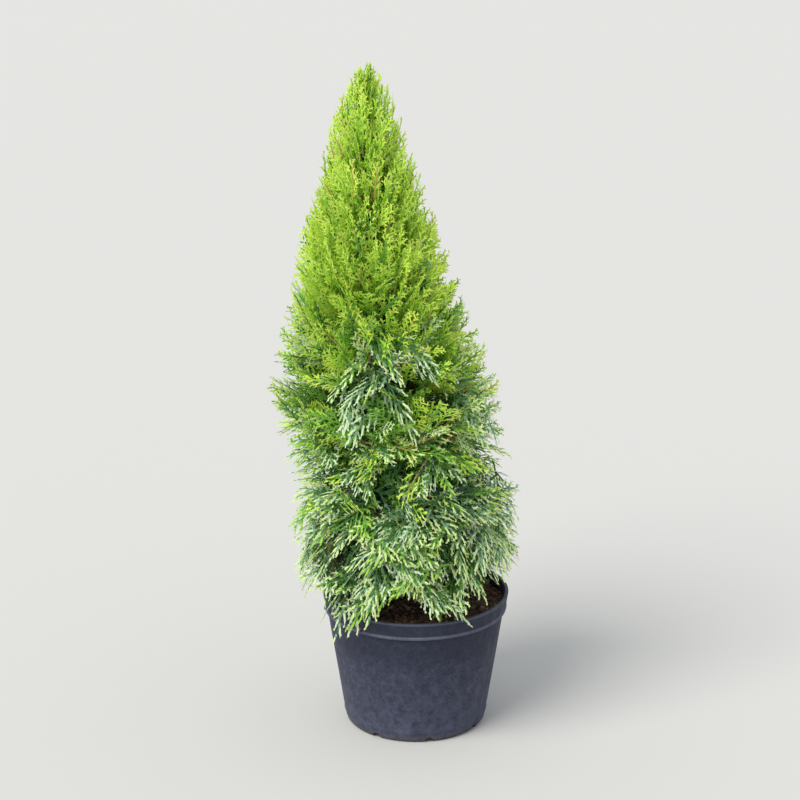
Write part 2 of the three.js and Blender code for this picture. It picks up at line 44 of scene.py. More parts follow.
# The pot
POT_HEIGHT = 190
RIM_RADIUS = 130
BASE_RADIUS = 98
COLLAR_HEIGHT = 24
COLLAR_STEP = 2.6
LIP_HEIGHT = 3
LIP_STEP = 1
WALL = 2.4
FLOOR = 3
RIM_ROUND = 0.9
FOOT_ROUND = 7
FOOT_STEP = 0.6
RIDGE_HEIGHT = 15
RIDGE_STEP = 0.7
EDGE_EASE = 0.6
RING_STEP = 12
POT_SIDES = 192
DRAIN_COUNT = 8
DRAIN_WIDTH = 13
DRAIN_HEIGHT = 8
DRAIN_START = -4
DRAIN_DEPTH = 5 * WALL
DRAIN_TURN = 0.25
DENT = 0.5

# The soil. Its hollows and its grain have a height and a fineness.
SOIL_TOP = 178
SOIL_FALL = 3
SOIL_RADIUS = 124
SOIL_PLAY = 0.3
SOIL_RINGS = 48
SOIL_SPOKES = 130
HOLLOWS = 1.6
HOLLOW_FINENESS = 0.03
GRAIN = 1.3
GRAIN_FINENESS = 0.16

# The crumbs and chips on the soil, and how common each of the soils' colours is among them
CRUMBS = 1700
CRUMB_SIZE = 1.2
CRUMB_GROWTH = 4.2
CRUMB_COLOURS = (0.42, 0.32, 0.15, 0.11)
CHIP_SHARE = 0.18
CHIP_SHAPE = (2.4, 1, 0.5)
CHIP_COLOURS = (0, 0.5, 0.35, 0.15)

# The trunk's centre line, from below the soil to where the leader starts
TRUNK_LINE = np.array(
    [[4, 0, 160], [-5, 0, 235], [-24, 3, 350], [-42, 4, 460], [-54, 2, 580], [-59, 0, 700],
     [-59, -1, 800]],
    float,
)
TRUNK_RADIUS = 8.5
TRUNK_TIP_RADIUS = 2
FLARE_RADIUS = 13.5
FLARE_HEIGHT = 34
LEADER_LEAN = -4
BOUGH_TIP_RADIUS = 0.9
BARK_FULL_RADIUS = 4

# The crown's outline: height, and radius about its middle
CROWN_TOP = 936
CROWN_PROFILE = np.array(
    [[148, 160], [221, 160], [312, 161], [410, 156], [478, 164], [541, 144], [617, 120],
     [695, 100], [765, 74], [845, 52], [900, 30], [CROWN_TOP, 5]],
    float,
)
# How far the crown's middle lies from the trunk's centre line in X: height, and shift
CROWN_SHIFTS = np.array([[235, -9], [285, -5], [335, 5], [640, 1], [880, -7]], float)

# How low the lowest tips hang round the pot: a bearing from +X in degrees, and a height
HEM = np.array(
    [[0, 238], [28, 222], [50, 184], [90, 200], [135, 190], [180, 206], [205, 182], [228, 148],
     [248, 188], [262, 238], [274, 238], [286, 196], [298, 152], [308, 194], [320, 238], [345, 240]],
    float,
)

# The tiers, from the soil up, as in the part's source. Their spaces are parted by surfaces that
# start at the trunk at the first of floors, and reach the others at FOLD_RADIUS and EDGE_RADIUS.
# rows and columns of sprays cover a mass's slice of the outline. rises are their angles over the
# horizon at its foot and top, sags how far they hang in shares of their length, and drape how far
# their flat sides face out. opens is the angle of their shoots, and comb is 0 for a fan.
FOLD_RADIUS = 85
EDGE_RADIUS = 175
TIERS = [
    dict(
        name="skirt", count=6, turn=270, level=202, floors=(100, 100, 100), out=104, up=10,
        arch=13, thickness=3.4, rises=(-46, 8), rows=3, columns=6, spray=112, sags=(0.46, 0.28),
        drape=0.92, opens=52, comb=1, sideways=58,
    ),
    dict(
        name="lower", count=5, turn=250, level=276, floors=(236, 262, 236), out=100, up=52,
        arch=12, thickness=3.4, rises=(-26, 28), rows=4, columns=6, spray=116, sags=(0.4, 0.3),
        drape=0.88, opens=52, comb=0.9, sideways=54,
    ),
    dict(
        name="middle", count=5, turn=285, level=362, floors=(324, 370, 366), out=92, up=76,
        arch=2, thickness=3.1, rises=(-8, 56), rows=4, columns=8, spray=98, sags=(0.3, 0.2),
        drape=0.75, opens=50, comb=0.45, sideways=38,
    ),
    dict(
        name="upper", count=4, turn=258, level=455, floors=(418, 482, 520), out=76, up=90,
        arch=-5, thickness=2.8, rises=(28, 60), rows=5, columns=8, spray=84, sags=(0.12, 0.08),
        drape=0.6, opens=46, comb=0, sideways=30,
    ),
    dict(
        name="shoulder", count=4, turn=290, level=558, floors=(522, 602, 690), out=60, up=92,
        arch=-5, thickness=2.4, rises=(44, 70), rows=5, columns=7, spray=76, sags=(0.06, 0.04),
        drape=0.55, opens=44, comb=0, sideways=30,
    ),
    dict(
        name="spire", count=3, turn=262, level=666, floors=(632, 730, 840), out=38, up=84,
        arch=-4, thickness=2, rises=(57, 77), rows=6, columns=6, spray=64, sags=(0.02, 0.02),
        drape=0.5, opens=42, comb=0, sideways=28,
    ),
]
TOP = dict(
    name="top", count=1, turn=250, floors=(748, 852, 980), stem=84, rises=(66, 85), rows=8,
    columns=9, spray=54, sags=(0.02, 0.02), drape=0.4, opens=38, comb=0, sideways=26,
)

SEED = 11
LEVEL_SPREAD = 8
BEARING_SPREAD = 4


def stream(seed):
    """A repeatable stream of numbers from 0 to 1, the same as the part's source draws."""
    word = 0xFFFFFFFF
    state = seed & word
    while True:
        state = (state + 0x6D2B79F5) & word
        mixed = ((state ^ (state >> 15)) * (state | 1)) & word
        mixed ^= (mixed + ((mixed ^ (mixed >> 7)) * (mixed | 61) & word)) & word
        yield ((mixed ^ (mixed >> 14)) & word) / 2**32


def lerp(low, high, share):
    return low + (high - low) * share


def either_way(rng):
    """A random number from -1 to 1."""
    return 2 * rng.random() - 1


def around(count, rng):
    """Random numbers from -0.5 to 0.5."""
    return rng.random(count) - 0.5


def unit(vectors):
    vectors = np.asarray(vectors, float)
    return vectors / np.maximum(np.linalg.norm(vectors, axis=-1, keepdims=True), 1e-9)


def direction(bearing, rise):
    """A direction from its bearing about +Z and its rise above the horizon, in degrees."""
    turn, tilt = math.radians(bearing), math.radians(rise)
    level = math.cos(tilt)
    return np.array([level * math.cos(turn), level * math.sin(turn), math.sin(tilt)])


def crown_radius(height):
    return np.interp(height, CROWN_PROFILE[:, 0], CROWN_PROFILE[:, 1], right=0)


def crown_centre(heights):
    """The middle of the crown at some heights."""
    points = trunk_at(heights)
    points[:, 0] += np.interp(points[:, 2], CROWN_SHIFTS[:, 0], CROWN_SHIFTS[:, 1])
    return points


def trunk_at(heights):
    """The trunk's centre line at some heights, smooth through its given points."""
    heights = np.atleast_1d(np.asarray(heights, float))
    marks, sides = TRUNK_LINE[:, 2], TRUNK_LINE[:, :2]
    slopes = np.gradient(sides, marks, axis=0)
    inside = np.clip(heights, marks[0], marks[-1])
    at = np.clip(np.searchsorted(marks, inside) - 1, 0, len(marks) - 2)
    gap = (marks[at + 1] - marks[at])[:, None]
    t = (inside - marks[at])[:, None] / gap
    bent = (
        (2 * t**3 - 3 * t**2 + 1) * sides[at]
        + (t**3 - 2 * t**2 + t) * gap * slopes[at]
        + (3 * t**2 - 2 * t**3) * sides[at + 1]
        + (t**3 - t**2) * gap * slopes[at + 1]
    )
    return np.column_stack([bent, heights])


def bezier(points, shares):
    """Points of a Bezier curve of three or four points."""
    shares = np.asarray(shares, float)[:, None]
    order = len(points) - 1
    curve = 0
    for i, point in enumerate(points):
        curve = curve + math.comb(order, i) * shares**i * (1 - shares) ** (order - i) * point
    return curve


def add_object(name, data):
    made = bpy.data.objects.new(name, data)
    bpy.context.scene.collection.objects.link(made)
    return made


def mesh_object(name, vertices, faces, materials, slots=None, smooth=False):
    """A mesh object from arrays in millimetres. slots gives each face's place in materials."""
    mesh = bpy.data.meshes.new(name)
    places = np.asarray(vertices, np.float32) * MM
    mesh.from_pydata(places.tolist(), [], np.asarray(faces).tolist())
    for material in materials:
        mesh.materials.append(material)
    if slots is not None:
        mesh.polygons.foreach_set("material_index", np.asarray(slots, np.int32))
    mesh.polygons.foreach_set("use_smooth", np.full(len(faces), smooth))
    mesh.validate()
    return add_object(name, mesh)


class Heap:
    """Vertices and faces of many small shapes, joined into one mesh."""

    def __init__(self):
        self.vertices, self.faces, self.slots, self.count = [], [], [], 0

    def add(self, vertices, faces, slots=0):
        self.vertices.append(vertices)
        self.faces.append(faces + self.count)
        self.slots.append(np.broadcast_to(slots, len(faces)))
        self.count += len(vertices)

    def build(self, name, materials, smooth=False):
        return mesh_object(
            name, np.concatenate(self.vertices), np.concatenate(self.faces), materials,
            np.concatenate(self.slots), smooth,
        )


def ring_faces(rows, sides):
    """Triangles over rows of corners, closed by fans round two points that come after the rows."""
    faces = []
    for row in range(rows - 1):
        for side in range(sides):
            a, b = row * sides + side, row * sides + (side + 1) % sides
            faces += [(a, b, b + sides), (a, b + sides, a + sides)]
    first, last, end = rows * sides, rows * sides + 1, (rows - 1) * sides
    for side in range(sides):
        following = (side + 1) % sides
        faces += [(first, following, side), (last, end + side, end + following)]
    return np.array(faces)


def bark_relief(turn, height, fineness):
    """How far bark stands out at a place on a limb, from about -1 to 1."""
    place = Vector((math.cos(turn) * 3, math.sin(turn) * 3, height * 0.045 * fineness))
    return noise.fractal(place, 0.8, 2.2, 4)


def tube(points, radii, sides, relief=0.0, fineness=1.0):
    """A closed tapering tube of triangles along points, with a bark relief of some millimetres."""
    points, radii = np.asarray(points, float), np.asarray(radii, float)
    along = unit(np.gradient(points, axis=0))
    across = np.cross(along[0], [0.0, 1.0, 0.3])
    corners = []
    for point, radius, way in zip(points, radii, along):
        across = unit(across - way * np.dot(across, way))
        other = np.cross(way, across)
        for turn in np.linspace(0, 2 * math.pi, sides, endpoint=False):
            out = math.cos(turn) * across + math.sin(turn) * other
            raised = relief * bark_relief(turn, point[2], fineness) if relief else 0.0
            corners.append(point + out * (radius + raised * min(1, radius / BARK_FULL_RADIUS)))
    return np.concatenate([corners, points[:1], points[-1:]]), ring_faces(len(points), sides)


# Materials

# Ramps, as stops of a place and a colour
BARK_RAMP = [(0.3, (0.05, 0.022, 0.012)), (0.5, (0.19, 0.085, 0.045)), (0.72, (0.36, 0.2, 0.12))]
POT_RAMP = [
    (0.36, (0.015, 0.018, 0.034)), (0.5, (0.027, 0.031, 0.056)), (0.66, (0.05, 0.057, 0.096)),
]
DUST_REACH = (10, 120)
# How dark the painted shade on the collar and under the lip can get
PAINTED_SHADE_SHARE = 0.55

# Each soil's name and its two browns
SOILS = [
    ("peat", (0.018, 0.01, 0.006), (0.1, 0.055, 0.033)),
    ("peat_brown", (0.05, 0.025, 0.014), (0.19, 0.1, 0.058)),
    ("bark_chip", (0.06, 0.03, 0.016), (0.2, 0.11, 0.065)),
    ("pale_bit", (0.12, 0.1, 0.06), (0.34, 0.29, 0.19)),
]

LEAVES = [
    ("leaf_fresh", (0.52, 0.77, 0.08)),
    ("leaf_bright", (0.28, 0.54, 0.04)),
    ("leaf_green", (0.115, 0.3, 0.028)),
    ("leaf_deep", (0.03, 0.108, 0.02)),
    ("leaf_blue", (0.16, 0.3, 0.15)),
    ("leaf_pale", (0.5, 0.68, 0.36)),
    ("leaf_shade", (0.01, 0.038, 0.01)),
    ("leaf_soft", (0.54, 0.72, 0.26)),
    ("young_stem", (0.46, 0.25, 0.08)),
]
FRESH, BRIGHT, GREEN, DEEP, BLUE, PALE, SHADE, SOFT, STEM = range(len(LEAVES))


def new_material(name, colour, roughness):
    material = bpy.data.materials.new(name)
    material.use_nodes = True
    shader = material.node_tree.nodes["Principled BSDF"]
    shader.inputs["Base Color"].default_value = (*colour, 1)
    shader.inputs["Roughness"].default_value = roughness
    return material, material.node_tree, shader


def add_node(tree, kind, **values):
    """A node with its inputs set by name, and its own settings where it has no such input."""
    node = tree.nodes.new(kind)
    for name, value in values.items():
        key = name.replace("_", " ").title()
        if key in node.inputs:
            node.inputs[key].default_value = value
        else:
            setattr(node, name, value)
    return node


def feed(tree, socket, value):
    """Links a socket's value to another one, or sets it where it is a plain number or colour."""
    if isinstance(value, bpy.types.NodeSocket):
        tree.links.new(value, socket)
    else:
        socket.default_value = (*value, 1) if isinstance(value, tuple) else value


def place_node(tree, stretch=(1, 1, 1)):
    """The object's own coordinates, in metres, stretched along its axes."""
    where = tree.nodes.new("ShaderNodeTexCoord")
    scaled = add_node(tree, "ShaderNodeMapping", scale=stretch)
    tree.links.new(where.outputs["Object"], scaled.inputs["Vector"])
    return scaled.outputs["Vector"]


def noise_node(tree, place, scale, detail=4.0, roughness=0.55):
    made = add_node(tree, "ShaderNodeTexNoise", scale=scale, detail=detail, roughness=roughness)
    tree.links.new(place, made.inputs["Vector"])
    return made.outputs["Fac"]


def ramp_node(tree, value, stops):
    node = tree.nodes.new("ShaderNodeValToRGB")
    elements = node.color_ramp.elements
    while len(elements) < len(stops):
        elements.new(0.5)
    for element, (place, colour) in zip(elements, stops):
        element.position = place
        element.color = (*colour, 1)
    tree.links.new(value, node.inputs["Fac"])
    return node.outputs["Color"]


def spread_node(tree, value, low, high, to_low=0.0, to_high=1.0):
    """A value from low to high, laid over to_low to to_high and kept inside them."""
    ends = dict(from_min=low, from_max=high, to_min=to_low, to_max=to_high)
    made = add_node(tree, "ShaderNodeMapRange", **ends)
    tree.links.new(value, made.inputs["Value"])
    return made.outputs["Result"]


def blend_node(tree, factor, one, other):
    """Two colours blended. Each is a socket or a plain colour."""
    made = add_node(tree, "ShaderNodeMix", data_type="RGBA")
    colours = [socket for socket in made.inputs if socket.type == "RGBA"]
    for socket, value in zip([made.inputs[0], *colours], (factor, one, other)):
        feed(tree, socket, value)
    return next(socket for socket in made.outputs if socket.type == "RGBA")


def add_maths(tree, operation, one, other):
    """A sum, product or the like of two values, each a socket or a plain number."""
    made = add_node(tree, "ShaderNodeMath", operation=operation)
    feed(tree, made.inputs[0], one)
    feed(tree, made.inputs[1], other)
    return made.outputs[0]


def coat_node(tree, value, low, high, most, under, colour):
    """A colour over another, more of it as a value goes from low to high, and most at the end."""
    return blend_node(tree, spread_node(tree, value, low, high, 0, most), under, colour)


def band_node(tree, height, low, high, soft):
    """1 from low to high, in millimetres, and 0 outside, with soft edges."""
    rising = spread_node(tree, height, (low - soft) * MM, low * MM)
    falling = spread_node(tree, height, high * MM, (high + soft) * MM, 1, 0)
    return add_maths(tree, "MULTIPLY", rising, falling)


def bump(tree, shader, value, height, strength=1.0, under=None):
    """Adds a bump of a height in millimetres to a shader, over another bump if one is given."""
    made = add_node(tree, "ShaderNodeBump", distance=height * MM, strength=strength)
    tree.links.new(value, made.inputs["Height"])
    if under:
        tree.links.new(under, made.inputs["Normal"])
    tree.links.new(made.outputs["Normal"], shader.inputs["Normal"])
    return made.outputs["Normal"]


def leaf_material(name, colour):
    """Scale leaves of one plain colour, with the relief of their overlapping scales."""
    material, tree, shader = new_material(name, colour, 0.5)
    place = place_node(tree)
    scales = add_node(tree, "ShaderNodeTexVoronoi", scale=620)
    tree.links.new(place, scales.inputs["Vector"])
    bump(tree, shader, scales.outputs["Distance"], 0.25, 0.5)
    rough = spread_node(tree, noise_node(tree, place, 90), 0.3, 0.7, 0.43, 0.6)
    tree.links.new(rough, shader.inputs["Roughness"])
    shader.inputs["Specular IOR Level"].default_value = 0.42
    shader.inputs["Subsurface Weight"].default_value = 0.6
    shader.inputs["Subsurface Radius"].default_value = (0.7, 1, 0.2)
    shader.inputs["Subsurface Scale"].default_value = 2 * MM
    return material


def bark_material():
    """Fibrous reddish brown bark that peels in thin upright strips, greyer in patches."""
    material, tree, shader = new_material("bark", (0.2, 0.085, 0.04), 0.8)
    fibres = noise_node(tree, place_node(tree, (1, 1, 0.12)), 420, 6, 0.6)
    patches = noise_node(tree, place_node(tree), 46, 3)
    brown = ramp_node(tree, fibres, BARK_RAMP)
    worn = coat_node(tree, patches, 0.5, 0.68, 0.55, brown, (0.27, 0.2, 0.15))
    tree.links.new(worn, shader.inputs["Base Color"])
    bump(tree, shader, fibres, 0.8, 0.8)
    return material


def twig_material():
    """Thin young bark, dull orange brown."""
    material, tree, shader = new_material("twig_bark", (0.16, 0.085, 0.035), 0.6)
    grain = noise_node(tree, place_node(tree, (1, 1, 0.3)), 500)
    bump(tree, shader, grain, 0.2, 0.6)
    return material


def pot_dust(tree, place, clouds, streaks, height):
    """Slate-black plastic with wiped streaks, dust that settles toward the foot, and fine scuffs."""
    specks = noise_node(tree, place, 260, 3, 0.7)
    scratches = noise_node(tree, place_node(tree, (0.16, 0.16, 1)), 190, 2, 0.5)
    plastic = ramp_node(tree, clouds, POT_RAMP)
    streaked = coat_node(tree, streaks, 0.5, 0.74, 0.22, plastic, (0.085, 0.095, 0.15))
    low = spread_node(tree, height, *[mark * MM for mark in DUST_REACH], 0.8, 0)
    settled = add_maths(tree, "MULTIPLY", low, spread_node(tree, clouds, 0.36, 0.62, 0.2, 1))
    dusty = blend_node(tree, settled, streaked, (0.07, 0.078, 0.122))
    specked = coat_node(tree, specks, 0.54, 0.72, 0.38, dusty, (0.12, 0.13, 0.16))
    return coat_node(tree, scratches, 0.68, 0.76, 0.2, specked, (0.14, 0.15, 0.18))


def pot_wear(tree, colour, clouds, height):
    """Painted shade on the collar and on the wall under the lip, a painted highlight on the lip, a
    worn rim and a dirty foot.
    """
    lip = POT_HEIGHT - COLLAR_HEIGHT
    lip_top = lip + LIP_HEIGHT
    # Painted shade: the collar is darkened for the foliage's shade and a painted reflection of the
    # dark ground, and the wall under the lip for the lip's shade
    collar = band_node(tree, height, lip_top + 2, POT_HEIGHT, 2)
    under_lip = band_node(tree, height, lip - 8, lip - 1, 46)
    painted_shade = add_maths(tree, "ADD", add_maths(tree, "MULTIPLY", collar, PAINTED_SHADE_SHARE), under_lip)
    painted_shade = add_maths(tree, "MINIMUM", painted_shade, PAINTED_SHADE_SHARE)
    # A painted highlight along the lip, in patches
    lip_highlight = add_maths(tree, "MULTIPLY", band_node(tree, height, lip - 1, lip_top + 1, 1), clouds)
    rim_worn = band_node(tree, height, POT_HEIGHT - 2, POT_HEIGHT + 2, 1)
    dirty = add_maths(tree, "MULTIPLY", band_node(tree, height, -20, 3, 9), clouds)
    # The colours of the painted shade, the painted highlight on the lip, the worn rim and the dirty
    # foot
    paints = [(0.014, 0.017, 0.034), (0.14, 0.155, 0.22), (0.06, 0.067, 0.1), (0.09, 0.08, 0.07)]
    for share, paint in zip([painted_shade, lip_highlight, rim_worn, dirty], paints):
        colour = blend_node(tree, share, colour, paint)
    return colour


def pot_material():
    """Thin slate-black plastic with a fine grain, dusty and worn, with painted shade on its collar
    and a painted highlight on its lip.
    """
    material, tree, shader = new_material("pot_plastic", (0.03, 0.034, 0.048), 0.6)
    place = place_node(tree)
    clouds = noise_node(tree, place, 85, 8, 0.78)
    streaks = noise_node(tree, place_node(tree, (1, 1, 0.1)), 75, 4, 0.6)
    axes = tree.nodes.new("ShaderNodeSeparateXYZ")
    tree.links.new(place, axes.inputs["Vector"])
    height = axes.outputs["Z"]
    colour = pot_wear(tree, pot_dust(tree, place, clouds, streaks, height), clouds, height)
    tree.links.new(colour, shader.inputs["Base Color"])
    tree.links.new(spread_node(tree, streaks, 0.35, 0.7, 0.5, 0.75), shader.inputs["Roughness"])
    shader.inputs["Specular IOR Level"].default_value = 0.25
    grain = bump(tree, shader, noise_node(tree, place, 900, 2), 0.08, 0.5)
    bump(tree, shader, noise_node(tree, place, 30, 2), 0.6, 0.35, under=grain)
    return material


def soil_material(name, dark, light):
    """Moist crumbly peat between two browns."""
    material, tree, shader = new_material(name, light, 0.95)
    crumbs = noise_node(tree, place_node(tree), 240, 6, 0.7)
    brown = ramp_node(tree, crumbs, [(0.32, dark), (0.68, light)])
    tree.links.new(brown, shader.inputs["Base Color"])
    bump(tree, shader, crumbs, 1.4, 0.9)
    return material


# The stage


def camera():
    made = add_object("camera", bpy.data.cameras.new("camera"))
    made.data.sensor_width = 36
    made.data.lens = 106
    made.location = Vector(EYE) * MM
    made.rotation_mode = "QUATERNION"
    made.rotation_quaternion = (Vector(AIM) - Vector(EYE)).to_track_quat("-Z", "Y")
    bpy.context.scene.camera = made


def backdrop():
    """A pale floor, seamless and level all round."""
    signs = [(-1, -1), (1, -1), (1, 1), (-1, 1)]
    corners = [(x * FLOOR_REACH, y * FLOOR_REACH, 0) for x, y in signs]
    material, tree, shader = new_material("floor_paint", (0.5, 0.5, 0.49), 0.9)
    bump(tree, shader, noise_node(tree, place_node(tree), 60), 0.3, 0.2)
    mesh_object("floor", corners, [(0, 1, 2, 3)], [material])


def lights():
    """One broad soft light from the upper left, and an even pale sky."""
    light = add_object("key_light", bpy.data.lights.new("key_light", "SUN"))
    light.data.energy = 3.1
    light.data.angle = math.radians(36)
    light.data.color = (1, 0.97, 0.9)
    light.rotation_mode = "QUATERNION"
    light.rotation_quaternion = Vector(KEY_FROM).to_track_quat("Z", "Y")
    world = bpy.data.worlds.new("sky")
    world.use_nodes = True
    background = world.node_tree.nodes["Background"]
    background.inputs["Color"].default_value = (0.93, 0.96, 1, 1)
    background.inputs["Strength"].default_value = 0.86
    bpy.context.scene.world = world
    bpy.context.scene.view_settings.view_transform = "Standard"


# The pot and the soil


def wall_radius(height):
    return lerp(BASE_RADIUS, RIM_RADIUS - COLLAR_STEP, height / POT_HEIGHT)


def arc(centre, radius, start, end, steps):
    """Points of an arc between two angles in degrees, in the plane of a lathe's profile."""
    turns = np.radians(np.linspace(start, end, steps))
    return [(centre[0] + radius * math.cos(t), centre[1] + radius * math.sin(t)) for t in turns]


def on_wall(heights, step=0):
    """Points of the pot's section at some heights, a step outside its plain wall."""
    return [(wall_radius(height) + step, height) for height in heights]


def pot_profile():
    """The pot's section as (radius, height), outwards at the bottom first."""
    collar_foot = POT_HEIGHT - COLLAR_HEIGHT
    lip_top = collar_foot + LIP_HEIGHT
    foot = (BASE_RADIUS - FOOT_ROUND + FOOT_STEP, FOOT_ROUND)
    outer = [(0, 0), (BASE_RADIUS - FOOT_ROUND, 0), *arc(foot, FOOT_ROUND, -80, 0, 6)]
    rings = np.arange(RIDGE_HEIGHT + RING_STEP, collar_foot - 4, RING_STEP)
    outer += on_wall([RIDGE_HEIGHT - 2])
    outer += on_wall([RIDGE_HEIGHT], RIDGE_STEP)
    outer += on_wall([RIDGE_HEIGHT + 2, *rings, collar_foot - EDGE_EASE])
    outer += [
        (wall_radius(collar_foot) + COLLAR_STEP + LIP_STEP, collar_foot),
        (wall_radius(lip_top) + COLLAR_STEP + LIP_STEP, lip_top - EDGE_EASE),
        (wall_radius(lip_top) + COLLAR_STEP, lip_top + EDGE_EASE),
    ]
    outer += on_wall([lip_top + 9], COLLAR_STEP)
    rim = POT_HEIGHT - RIM_ROUND
    inner = wall_radius(POT_HEIGHT) - WALL
    outer += arc((RIM_RADIUS - RIM_ROUND - 0.1, rim), RIM_ROUND, 0, 90, 5)
    outer += arc((inner + RIM_ROUND, rim), RIM_ROUND, 90, 180, 5)
    outer += on_wall(np.arange(POT_HEIGHT - RING_STEP, FLOOR, -RING_STEP), -WALL)
    return [*outer, *on_wall([FLOOR], -WALL), (0, FLOOR)]


def lathe(profile, sides):
    """A closed solid of revolution whose profile starts and ends on the axis."""
    profile = np.array(profile, float)
    turns = np.linspace(0, 2 * math.pi, sides, endpoint=False)
    vertices = [
        (radius * math.cos(turn), radius * math.sin(turn), height)
        for radius, height in profile[1:-1]
        for turn in turns
    ]
    vertices += [(0, 0, profile[0, 1]), (0, 0, profile[-1, 1])]
    return np.array(vertices), ring_faces(len(profile) - 2, sides)


def drain_cutter():
    """Short round-topped plugs through the pot's foot, as one mesh."""
    heap = Heap()
    half = DRAIN_WIDTH / 2
    top = arc((0, DRAIN_HEIGHT - half), half, 0, 180, 11)
    outline = [(half, DRAIN_START), *top, (-half, DRAIN_START)]
    count = len(outline)
    faces = ring_faces(2, count)[: 2 * count].tolist()
    for k in range(1, count - 1):
        faces += [(0, k + 1, k), (count, count + k, count + k + 1)]
    for number in range(DRAIN_COUNT):
        bearing = 360 * (number + DRAIN_TURN) / DRAIN_COUNT
        out, side = direction(bearing, 0), direction(bearing + 90, 0)
        corners = [
            radius * out + across * side + height * UP
            for radius in (BASE_RADIUS - DRAIN_DEPTH, BASE_RADIUS + DRAIN_DEPTH)
            for across, height in outline
        ]
        heap.add(np.array(corners), np.array(faces))
    return heap.build("drain_cutter", [])


def carve(piece, cutter):
    """Cuts one mesh out of another, and removes the cutter."""
    cut = piece.modifiers.new("cut", "BOOLEAN")
    cut.object = cutter
    cut.operation = "DIFFERENCE"
    cut.solver = "EXACT"
    bpy.context.view_layer.update()
    evaluated = piece.evaluated_get(bpy.context.evaluated_depsgraph_get())
    piece.data = bpy.data.meshes.new_from_object(evaluated)
    piece.modifiers.clear()
    bpy.data.objects.remove(cutter)


def make_pot(material):
    """The pot, whose wall is a little out of round toward the rim."""
    vertices, faces = lathe(pot_profile(), POT_SIDES)
    turns = np.arctan2(vertices[:, 1], vertices[:, 0])
    height = vertices[:, 2] / POT_HEIGHT
    waves = np.sin(2 * turns + 0.6) + 0.5 * np.sin(5 * turns + 6 * height)
    radius = np.hypot(vertices[:, 0], vertices[:, 1])
    stretch = np.where(radius > 1, DENT * height * waves / np.maximum(radius, 1), 0)
    vertices[:, :2] *= (1 + stretch)[:, None]
    pot = mesh_object("pot_shell", vertices, faces, [material])
    carve(pot, drain_cutter())
    pot.data.shade_smooth()
    pot.data.set_sharp_from_angle(angle=math.radians(38))
    return pot


def soil_height(x, y):
    """The soil's surface, a low dome with hollows and a grain."""
    dome = SOIL_TOP - SOIL_FALL * (math.hypot(x, y) / SOIL_RADIUS) ** 2
    broad = Vector((x * HOLLOW_FINENESS, y * HOLLOW_FINENESS, 2))
    fine = Vector((x * GRAIN_FINENESS, y * GRAIN_FINENESS, 7))
    return dome + HOLLOWS * noise.fractal(broad, 0.9, 2, 3) + GRAIN * noise.fractal(fine, 0.7, 2.1, 4)


def make_soil(material):
    """The soil as a closed solid with a crumbly top."""
    vertices = []
    for ring in range(1, SOIL_RINGS + 1):
        for spoke in range(SOIL_SPOKES):
            radius, turn = SOIL_RADIUS * ring / SOIL_RINGS, 2 * math.pi * spoke / SOIL_SPOKES
            x, y = radius * math.cos(turn), radius * math.sin(turn)
            vertices.append((x, y, soil_height(x, y)))
    foot = FLOOR + SOIL_PLAY
    scale = (wall_radius(FLOOR) - WALL - 2 * SOIL_PLAY) / SOIL_RADIUS
    vertices += [(x * scale, y * scale, foot) for x, y, _ in vertices[-SOIL_SPOKES:]]
    vertices += [(0, 0, soil_height(0, 0)), (0, 0, foot)]
    faces = ring_faces(SOIL_RINGS + 1, SOIL_SPOKES)[:, ::-1]
    return mesh_object("soil_body", vertices, faces, [material], smooth=True)


LUMP = unit(
    [(1, 1, 1), (1, -1, -1), (-1, 1, -1), (-1, -1, 1), (1.2, 0, 0), (-1.2, 0, 0), (0, 1.2, 0),
     (0, -1.2, 0)]
)


def crumb_corners(chip, size, rng):
    """The corners of one crumb or bark chip about its own middle, knocked out of shape."""
    stretch = np.array(CHIP_SHAPE) if chip else 1 + 0.5 * rng.random(3)
    corners = LUMP * (0.75 + 0.5 * rng.random((len(LUMP), 1))) * size * stretch
    return corners @ np.array(Euler(rng.random(3) * (0.7, 0.7, 6.3)).to_matrix()).T


def make_crumbs(materials):
    """Loose crumbs of peat, bark chips and pale bits, each a lump of a few faces."""
    rng = np.random.default_rng(SEED)
    faces = hull_faces(LUMP)
    heap = Heap()
    for _ in range(CRUMBS):
        radius = (SOIL_RADIUS - 3) * math.sqrt(rng.random())
        turn = rng.random() * 2 * math.pi
        x, y = radius * math.cos(turn), radius * math.sin(turn)
        size = CRUMB_SIZE + CRUMB_GROWTH * rng.random() ** 3
        chip = rng.random() < CHIP_SHARE
        place = np.array([x, y, soil_height(x, y) + 0.25 * size])
        corners = crumb_corners(chip, size, rng) + place
        slot = rng.choice(len(materials), p=CHIP_COLOURS if chip else CRUMB_COLOURS)
        heap.add(corners, faces, slot)
    return heap.build("soil_crumbs", materials)


def hull_faces(corners):
    """The triangles of a convex shape's outside, from its corners about the origin."""
    faces = []
    for a, b, c in permutations(range(len(corners)), 3):
        normal = np.cross(corners[b] - corners[a], corners[c] - corners[a])
        outside = np.all((corners - corners[a]) @ normal < 1e-6)
        if a < min(b, c) and outside and np.linalg.norm(normal) > 1e-6:
            faces.append((a, b, c))
    return np.array(faces)


# The wood


def trunk_radius(heights):
    """The trunk's radius at some heights: a straight taper with a flare at the foot."""
    share = (heights - TRUNK_LINE[0, 2]) / (TRUNK_LINE[-1, 2] - TRUNK_LINE[0, 2])
    flare = np.clip(1 - (heights - SOIL_TOP) / FLARE_HEIGHT, 0, 1) ** 2
    return lerp(TRUNK_RADIUS, TRUNK_TIP_RADIUS, share) + (FLARE_RADIUS - TRUNK_RADIUS) * flare


